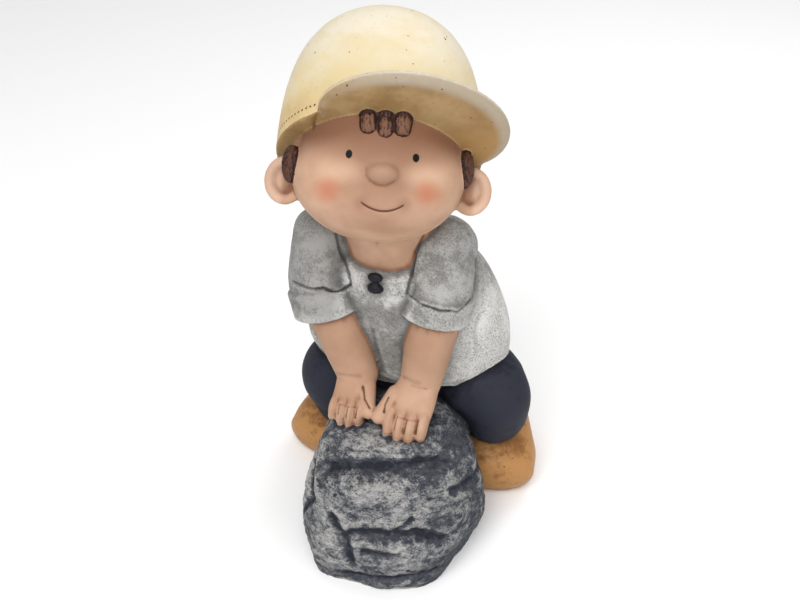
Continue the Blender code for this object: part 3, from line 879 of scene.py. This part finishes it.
class Paint:
    """Short names for the shader nodes that the paint is mixed from."""

    def __init__(self, material):
        self.tree = material.node_tree
        self.place = self.node("TexCoord").outputs["Object"]
        self.hollow = self.number("hollow")
        self.valley = self.number("valley")

    def put(self, socket, value):
        if isinstance(value, bpy.types.NodeSocket):
            self.tree.links.new(value, socket)
        else:
            socket.default_value = value

    def node(self, kind, inputs=None, **settings):
        """A new node with its settings, and with a value or a link in each of the inputs named."""
        made = self.tree.nodes.new("ShaderNode" + kind)
        for name, value in settings.items():
            setattr(made, name, value)
        for socket, value in (inputs or {}).items():
            self.put(made.inputs[socket], value)
        return made

    def maths(self, operation, a, b=0.0, clamp=False):
        return self.node("Math", {0: a, 1: b}, operation=operation, use_clamp=clamp).outputs[0]

    def number(self, name):
        return self.node("Attribute", attribute_name=name).outputs["Fac"]

    def split(self, vector):
        return self.node("SeparateXYZ", {0: vector}).outputs

    def parts(self, name):
        return self.split(self.node("Attribute", attribute_name=name).outputs["Vector"])

    def noise(self, size, detail=5.0, rough=0.55, stretch=(1, 1, 1), shift=0.0):
        """Noise with features of about size millimetres."""
        scale = [1000 / size * much for much in stretch]
        shifts = (shift, shift * 0.7, -shift)
        move = self.node("Mapping", {"Vector": self.place, "Scale": scale, "Location": shifts})
        inputs = {"Vector": move.outputs[0], "Scale": 1.0, "Detail": detail, "Roughness": rough}
        return self.node("TexNoise", inputs).outputs["Fac"]

    def step(self, value, low, high):
        """0 below low and 1 above high, smooth between; the other way round where high is the lower."""
        ends = (low, high, 0.0, 1.0) if low < high else (high, low, 1.0, 0.0)
        inputs = dict(zip(("From Min", "From Max", "To Min", "To Max"), ends), Value=value)
        return self.node("MapRange", inputs, interpolation_type="SMOOTHSTEP").outputs["Result"]

    def colour(self, share, a, b):
        """Colour a where the share is 0 and b where it is 1."""
        a, b = [tone if isinstance(tone, bpy.types.NodeSocket) else (*tone, 1) for tone in (a, b)]
        return self.node("Mix", {"Factor": share, "A": a, "B": b}, data_type="RGBA").outputs["Result"]

    def coats(self, colour, *coats):
        """The colour after more coats, each with where it lies, how well it covers and its own colour."""
        for share, cover, tone in coats:
            colour = self.colour(self.times(share, cover), colour, tone)
        return colour

    def blend(self, share, a, b):
        return self.node("Mix", {"Factor": share, "A": a, "B": b}).outputs["Result"]

    def times(self, *factors):
        total = factors[0]
        for factor in factors[1:]:
            total = self.maths("MULTIPLY", total, factor)
        return total

    def plus(self, *terms):
        """The sum of the terms, where a tuple stands for the product of what it holds."""
        terms = [self.times(*term) if isinstance(term, tuple) else term for term in terms]
        total = terms[0]
        for term in terms[1:]:
            total = self.maths("ADD", total, term)
        return total

    def minus(self, a, b):
        return self.maths("SUBTRACT", a, b)

    def apart(self, a, b=0.0):
        return self.maths("ABSOLUTE", self.minus(a, b))

    def length(self, x, y):
        return self.maths("SQRT", self.plus((x, x), (y, y)))

    def spot(self, across, up, middle, half, soft):
        """1 inside an oval in two coordinates and 0 outside it."""
        x = self.maths("DIVIDE", self.minus(across, middle[0]), half[0])
        y = self.maths("DIVIDE", self.minus(up, middle[1]), half[1])
        return self.step(self.length(x, y), 1 + soft, 1 - soft)

    def crease_wash_and_shade(self):
        """How dark the nearest crease is painted, with wash and painted shade: all along its middle and
        nothing past its width.
        """
        ragged = self.plus(self.number("from_crease"), self.noise(2.5, 4, 0.6, shift=41.0))
        return self.times(self.step(ragged, 1.55, 0.65), self.number("crease_wash_and_shade"))


def rock_paint(p):
    """Slate blue-grey under a dry brush of pale grey that catches the high places, dark in the cuts with
    dark paint and painted shade under the ledges.
    """
    patches = p.noise(46, 6, 0.62, (1, 1, 1.3), 3.0)
    streaks = p.noise(9, 10, 0.78, (1, 1, 1.7))
    scrape = p.noise(2.2, 8, 0.75, (1, 1, 2.4), 7.0)
    left, back, up = p.split(p.place)
    from_cut = p.number("from_cut")
    # The dark band below the ledges is dark paint with painted shade under the overhang.
    band = p.step(p.plus(from_cut, (streaks, 1.1), (scrape, 0.3)), 1.65, 0.95)
    lit = p.plus(
        (p.step(patches, 0.34, 0.66), 0.72),
        (p.step(streaks, 0.36, 0.64), 0.62),
        (p.step(scrape, 0.38, 0.62), 0.5),
        (p.step(back, -0.02, -0.11), 0.2),
        (p.step(left, 0.045, 0.09), -0.35),
        (p.step(up, 0.055, 0.012), -0.42),
        (p.hollow, -0.8),
        (p.valley, -0.14),
        (band, -0.55),
        -0.7,
    )
    lit = p.maths("MULTIPLY", lit, 1.0, clamp=True)
    dark = p.colour(p.step(streaks, 0.35, 0.65), (0.028, 0.031, 0.042), (0.078, 0.083, 0.094))
    pale = p.colour(scrape, (0.19, 0.19, 0.19), (0.5, 0.49, 0.465))
    # The cuts are darkened with dark paint and painted shade.
    cut = p.step(from_cut, 0.75, 0.1)
    deep = p.plus((p.hollow, 0.8), (p.valley, 0.16), (streaks, 0.45), (cut, 0.24), (scrape, 0.55), -0.25)
    chips = p.times(p.step(p.noise(3.6, 5, 0.7, (1, 1, 2.0), 24.0), 0.62, 0.74), lit)
    nicks = p.times(p.step(p.noise(4.6, 3, 0.5, (1, 1, 3.2), 21.0), 0.38, 0.31), 0.8)
    pits = p.times(p.step(p.noise(1.9, 4, 0.6, (1.4, 1, 1), 27.0), 0.39, 0.33), 0.7)
    nicks = p.maths("MAXIMUM", nicks, pits)
    colour = p.coats(
        p.colour(lit, dark, pale),
        (p.step(deep, 0.42, 0.95), 0.9, (0.012, 0.013, 0.022)),
        (chips, 0.6, (0.6, 0.585, 0.55)),
        (nicks, 1.0, (0.022, 0.024, 0.034)),
    )
    return colour, 0.75, p.plus((streaks, 1.3), scrape, (nicks, -0.6))


def cloth_paint(p, tones, size, shift):
    """Mottled matt paint in a dark, a middle and a pale tone, darker in the hollows."""
    dark, middle, pale = tones
    mottle = p.noise(size, 7, 0.62, shift=shift)
    specks = p.noise(size / 5, 5, 0.6, shift=shift + 2)
    tone = p.plus((mottle, 1.2), (specks, 0.8), (p.hollow, -0.9), (p.valley, -0.1), -0.5)
    colour = p.colour(p.step(tone, 0.05, 0.5), dark, middle)
    return p.colour(p.step(tone, 0.5, 0.9), colour, pale), mottle, specks


def shirt_paint(p):
    """Mottled grey, with painted light low on the boy's left, grime, and dark creases of wash and painted
    shade.
    """
    tones = ((0.135, 0.134, 0.128), (0.27, 0.265, 0.252), (0.5, 0.495, 0.475))
    colour, mottle, specks = cloth_paint(p, tones, 24, 1.0)
    left, _, up = p.split(p.place)
    wash = p.step(p.plus(p.hollow, (specks, 0.4)), 0.45, 0.85)
    # Painted light: the shirt is paler low on the boy's left side, where the light falls.
    low = p.times(p.step(left, 0.045, 0.085), p.step(up, 0.265, 0.235))
    left_sleeve = p.times(p.step(left, 0.028, 0.04), p.step(left, 0.09, 0.078), 0.7)
    sleeves = p.times(p.plus(p.step(left, -0.03, -0.046), left_sleeve), p.step(up, 0.222, 0.244))
    grime = p.times(p.step(p.noise(1.7, 6, 0.7, shift=31.0), 0.53, 0.4), p.step(mottle, 0.72, 0.46))
    colour = p.coats(
        colour,
        (wash, 0.8, (0.085, 0.085, 0.088)),
        # The pale coat low on the left is painted light.
        (low, 0.65, (0.7, 0.69, 0.66)),
        (sleeves, 0.55, (0.13, 0.127, 0.118)),
        (grime, 0.65, (0.115, 0.112, 0.106)),
        # Dark wash and painted shade along the creases.
        (p.crease_wash_and_shade(), 1.0, (0.03, 0.03, 0.033)),
    )
    return colour, 0.78, p.plus((mottle, 0.3), (specks, 0.6), (grime, -0.3))


def trousers_paint(p):
    tones = ((0.005, 0.0055, 0.01), (0.009, 0.01, 0.018), (0.02, 0.022, 0.034))
    colour, mottle, specks = cloth_paint(p, tones, 46, 5.0)
    return colour, 0.68, p.plus((mottle, 0.2), (specks, 0.3))


def shoes_paint(p):
    tones = ((0.13, 0.052, 0.016), (0.22, 0.096, 0.03), (0.4, 0.2, 0.07))
    colour, mottle, _ = cloth_paint(p, tones, 30, 9.0)
    _, _, up = p.split(p.place)
    pits = p.step(p.noise(2.4, 2, 0.4), 0.3, 0.27)
    sole = p.step(p.apart(up, SOLE_LINE), 0.0011, 0.0004)
    colour = p.coats(colour, (pits, 1.0, (0.05, 0.022, 0.01)), (sole, 0.8, (0.06, 0.026, 0.012)))
    return colour, 0.42, p.plus((mottle, 0.3), (pits, -0.4))


def skin_paint(p):
    """Peach, browner in the hollows and round the hair, with brown paint and painted shadow of the cap over
    the brow and the middle of the face, painted shade under the shirt's edges, a painted highlight on the
    nose and painted light on the cheeks, with blush, eyes and the mouth's line.
    """
    left, front, up = p.parts("face")
    _, _, high = p.split(p.place)
    tone = p.noise(34, 4, 0.5)
    aside = p.apart(left)
    facing = p.step(front, 20, 36)
    beside_face = p.step(front, -30, -12)

    def spots(middles, half, soft):
        """1 in an oval round each middle on the front of the face, and 0 elsewhere."""
        return p.times(p.plus(*(p.spot(left, up, middle, half, soft) for middle in middles)), facing)

    wash = p.step(p.plus(p.hollow, (p.valley, 0.1), (tone, 0.2)), 0.15, 0.6)
    wash = p.times(wash, p.plus(0.65, (facing, -0.45)))
    # Brown paint and painted shadow of the cap on the forehead, growing from the eyes' level upwards.
    brown_and_cap_shadow = p.times(p.step(p.plus(up, (tone, 14)), 1, 28), facing)
    # Painted highlight on the front of the nose.
    tip = p.times(p.spot(left, up, (FACE_LEFT, -8), (12, 8), 0.8), p.step(front, 66, 74))
    inner_ears = p.times(p.spot(front, up, (8, -15), (9, 12), 0.6), p.step(aside, 70, 76))
    ear_rims = p.times(p.step(aside, 78, 84), beside_face)
    ears = p.times(p.step(aside, 70, 76), p.step(p.valley, 0.6, 2.2), beside_face)
    across = p.maths("DIVIDE", p.minus(left, MOUTH_MIDDLE[0]), MOUTH_HALF)
    curve = p.plus((across, across, MOUTH_RISE), MOUTH_MIDDLE[1])
    mouth = p.times(p.step(p.apart(up, curve), 1.25, 0.45), p.step(p.apart(across), 1.06, 0.92), facing)
    corners = [(MOUTH_MIDDLE[0] + side * MOUTH_HALF, MOUTH_MIDDLE[1] + MOUTH_RISE) for side in SIDES]
    arms_only = p.times(p.step(high, 0.165, 0.19), p.step(high, 0.275, 0.26))
    # Painted shade on the skin next to the shirt: under the cuffs and at the neckline.
    shade_under_shirt = p.step(p.plus(p.number("from_shirt"), (tone, 3)), 7.5, 0.5)
    colour = p.coats(
        p.colour(p.step(tone, 0.3, 0.7), (0.4, 0.235, 0.15), (0.5, 0.315, 0.215)),
        (wash, 1.0, (0.2, 0.08, 0.04)),
        (brown_and_cap_shadow, 0.92, (0.145, 0.06, 0.031)),
        # Over the middle of the face: brown paint and painted shade of the cap, darkest between the eyes.
        (spots([(FACE_LEFT, 2)], (36, 42), 0.9), 0.75, (0.215, 0.103, 0.058)),
        (tip, 0.6, (0.4, 0.255, 0.175)),
        # Painted light on the cheeks under the eyes.
        (spots([(FACE_LEFT + side * 36, -12) for side in SIDES], (16, 8), 0.9), 0.5, (0.62, 0.42, 0.29)),
        (inner_ears, 0.65, (0.26, 0.125, 0.07)),
        (ear_rims, 0.6, (0.62, 0.42, 0.31)),
        (ears, 0.7, (0.16, 0.065, 0.033)),
        (spots(BLUSH, (8.5, 7.5), 0.9), 0.7, (0.43, 0.14, 0.075)),
        (spots(corners, (5, 5), 0.8), 0.35, (0.21, 0.095, 0.052)),
        (mouth, 0.95, (0.085, 0.03, 0.015)),
        (arms_only, 0.45, (0.27, 0.15, 0.09)),
        (shade_under_shirt, 0.7, (0.2, 0.08, 0.04)),
        # Dark wash and painted shade along the creases.
        (p.crease_wash_and_shade(), 1.0, (0.09, 0.034, 0.016)),
        (spots(EYES, (2.7, 3.5), 0.14), 1.0, (0.0015, 0.0015, 0.002)),
    )
    return colour, 0.6, p.plus((p.noise(3, 4), 0.2), (mouth, -0.3))


def hair_paint(p):
    """Dark brown, rubbed lighter on the front of each lock."""
    _, front, _ = p.parts("face")
    strands = p.noise(2.4, 5, 0.65, (1, 1, 0.5), 4.0)
    colour = p.colour(p.step(strands, 0.4, 0.62), (0.011, 0.004, 0.003), (0.04, 0.013, 0.008))
    rubbed = p.step(p.plus((p.hollow, -1.1), (strands, 1.1)), 0.5, 0.92)
    rubbed = p.times(rubbed, p.plus(0.35, (p.step(front, 40, 55), 0.6)))
    return p.colour(rubbed, colour, (0.165, 0.078, 0.047)), 0.6, strands


def cap_paint(p):
    """Cream above and ochre below, tan under the visor, with a pale edge, stitch holes and pinholes."""
    angle, height, inside = p.parts("rim")
    from_visor = p.number("from_visor")
    mottle = p.noise(38, 6, 0.6, shift=11.0)
    specks = p.noise(4.5, 5, 0.62, shift=12.0)
    rise = p.plus(height, (p.minus(mottle, 0.5), 70))
    low = p.times(p.step(rise, 52, 2), p.step(angle, -8, -50))
    brushed = p.step(p.noise(26, 5, 0.6, (1, 1, 2.6), 15.0), 0.42, 0.66)
    smudge = p.step(p.noise(13, 7, 0.75, (1, 1, 1.6), 17.0), 0.58, 0.76)
    wash = p.step(p.plus(p.hollow, (specks, 0.25)), 0.24, 0.52)

    normal = p.node("NewGeometry").outputs["Normal"]
    turn = p.node("VectorMath", {0: normal, 1: tuple(CAP.up)}, operation="DOT_PRODUCT")
    upright = turn.outputs["Value"]
    tan = p.colour(p.step(mottle, 0.35, 0.65), (0.23, 0.135, 0.052), (0.34, 0.225, 0.105))
    tan = p.colour(p.step(p.plus(angle, (mottle, 20)), 45, 80), tan, (0.33, 0.19, 0.07))
    brim = p.times(p.step(from_visor, 1.2, 0.4), p.step(inside, 41, 39))
    start = VISOR_TURN - VISOR_SPAN
    edge = p.times(p.step(p.plus(inside, (mottle, 8)), 17, 8), brim, p.step(angle, start + 10, start + 36))
    pale = p.colour(p.step(upright, 0.15, -0.55), (0.6, 0.55, 0.48), (0.36, 0.31, 0.235))
    worn = p.times(p.step(inside, 15, 5), p.step(p.plus(specks, (mottle, 0.6)), 0.55, 0.85), brim)

    pins = p.step(p.noise(3.1, 1, 0.3, shift=13.0), 0.225, 0.195)
    along = p.times(p.minus(p.maths("FRACT", p.maths("DIVIDE", angle, STITCH_STEP)), 0.5), STITCH_GAP)
    holes = p.step(p.length(along, p.minus(height, STITCH_LEVEL)), 1.25, 0.7)
    holes = p.times(holes, p.step(p.minus(from_visor, p.number("from_crown")), 0.5, 1.0))
    colour = p.coats(
        p.colour(p.step(rise, 22, 100), (0.6, 0.5, 0.3), (0.68, 0.62, 0.495)),
        (low, 0.75, (0.5, 0.34, 0.145)),
        (brushed, 0.4, (0.63, 0.5, 0.255)),
        (smudge, 0.5, (0.4, 0.29, 0.14)),
        (wash, 0.8, (0.24, 0.125, 0.05)),
        (p.step(upright, -0.3, -0.6), 1.0, tan),
        (edge, 0.9, pale),
        (worn, 0.35, (0.32, 0.25, 0.175)),
        # Dark wash and painted shade along the creases.
        (p.crease_wash_and_shade(), 1.0, (0.13, 0.065, 0.025)),
        (pins, 1.0, (0.05, 0.032, 0.022)),
        (holes, 1.0, (0.05, 0.03, 0.018)),
    )
    return colour, 0.55, p.plus((mottle, 0.2), (specks, 0.3), (holes, -1.0), (pins, -0.6))


def buttons_paint(p):
    return p.colour(p.noise(5, 4), (0.006, 0.006, 0.009), (0.013, 0.013, 0.017)), 0.5, p.noise(3, 3)


PAINTS = {
    "skin": skin_paint,
    "hair": hair_paint,
    "rock": rock_paint,
    "trousers": trousers_paint,
    "shoes": shoes_paint,
    "shirt": shirt_paint,
    "buttons": buttons_paint,
    "crown": cap_paint,
}


def painted_cast():
    """One material: the paint of the nearest form, with a sharp border where two forms are equally near."""
    material, shader = plain_material("painted cast")
    p = Paint(material)
    colour = rough = height = nearest = None
    for zone, paint in PAINTS.items():
        zone_colour, zone_rough, zone_height = paint(p)
        away = p.number("from_" + zone)
        if zone == "crown":
            away = p.maths("MINIMUM", away, p.number("from_visor"))
        if nearest is None:
            colour, rough, height, nearest = zone_colour, zone_rough, zone_height, away
            continue
        mine = p.step(p.minus(nearest, away), -0.35, 0.35)
        colour = p.colour(mine, colour, zone_colour)
        rough = p.blend(mine, rough, zone_rough)
        height = p.blend(mine, height, zone_height)
        nearest = p.maths("MINIMUM", nearest, away)
    gathered = p.step(p.plus(p.hollow, (p.noise(5, 6, 0.7, shift=51.0), 0.5)), 0.55, 1.1)
    colour = p.coats(colour, (gathered, 0.55, (0.045, 0.032, 0.028)))
    bump = p.node("Bump", {"Strength": 0.45, "Distance": 0.0012, "Height": height})
    p.put(shader.inputs["Base Color"], colour)
    p.put(shader.inputs["Roughness"], p.plus(rough, (p.minus(p.noise(8, 4), 0.5), 0.15)))
    p.put(shader.inputs["Normal"], bump.outputs["Normal"])
    shader.inputs["Specular IOR Level"].default_value = 0.18
    return material


def studio():
    """A pale floor, soft lights and the photograph's camera."""
    mesh = bpy.data.meshes.new("floor")
    corners = [(-6, -6, 0), (6, -6, 0), (6, 6, 0), (-6, 6, 0)]
    mesh.from_pydata(corners, [], [(0, 1, 2, 3)])
    material, shader = plain_material("pale floor")
    shader.inputs["Base Color"].default_value = (0.96, 0.96, 0.96, 1)
    shader.inputs["Roughness"].default_value = 0.9
    mesh.materials.append(material)
    placed("floor", mesh)

    world = bpy.data.worlds.new("studio")
    world.use_nodes = True
    sky = world.node_tree.nodes["Background"].inputs
    sky["Color"].default_value = (1, 1, 1, 1)
    sky["Strength"].default_value = 0.66
    bpy.context.scene.world = world
    bpy.context.scene.view_settings.view_transform = "Standard"

    for name, place, size, power in (
        ("key", (0.05, -1.4, 1.8), 1.4, 33),
        ("fill", (1.6, -1.2, 1.0), 1.2, 7),
        ("rim", (0.4, 1.4, 1.6), 1.0, 8),
    ):
        light = bpy.data.lights.new(name, "AREA")
        light.size = size
        light.energy = power
        placed(name, light, place, (LIGHTS_AIM - Vector(place)).to_track_quat("-Z", "Y"))

    data = bpy.data.cameras.new("camera")
    data.lens = CAMERA_LENS
    bpy.context.scene.camera = placed("camera", data, CAMERA_PLACE, CAMERA_TURN)


statue = sculpted("statue")
statue.data.materials.clear()
statue.data.materials.append(painted_cast())
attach(statue, "root")
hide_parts("boy_statue")
studio()
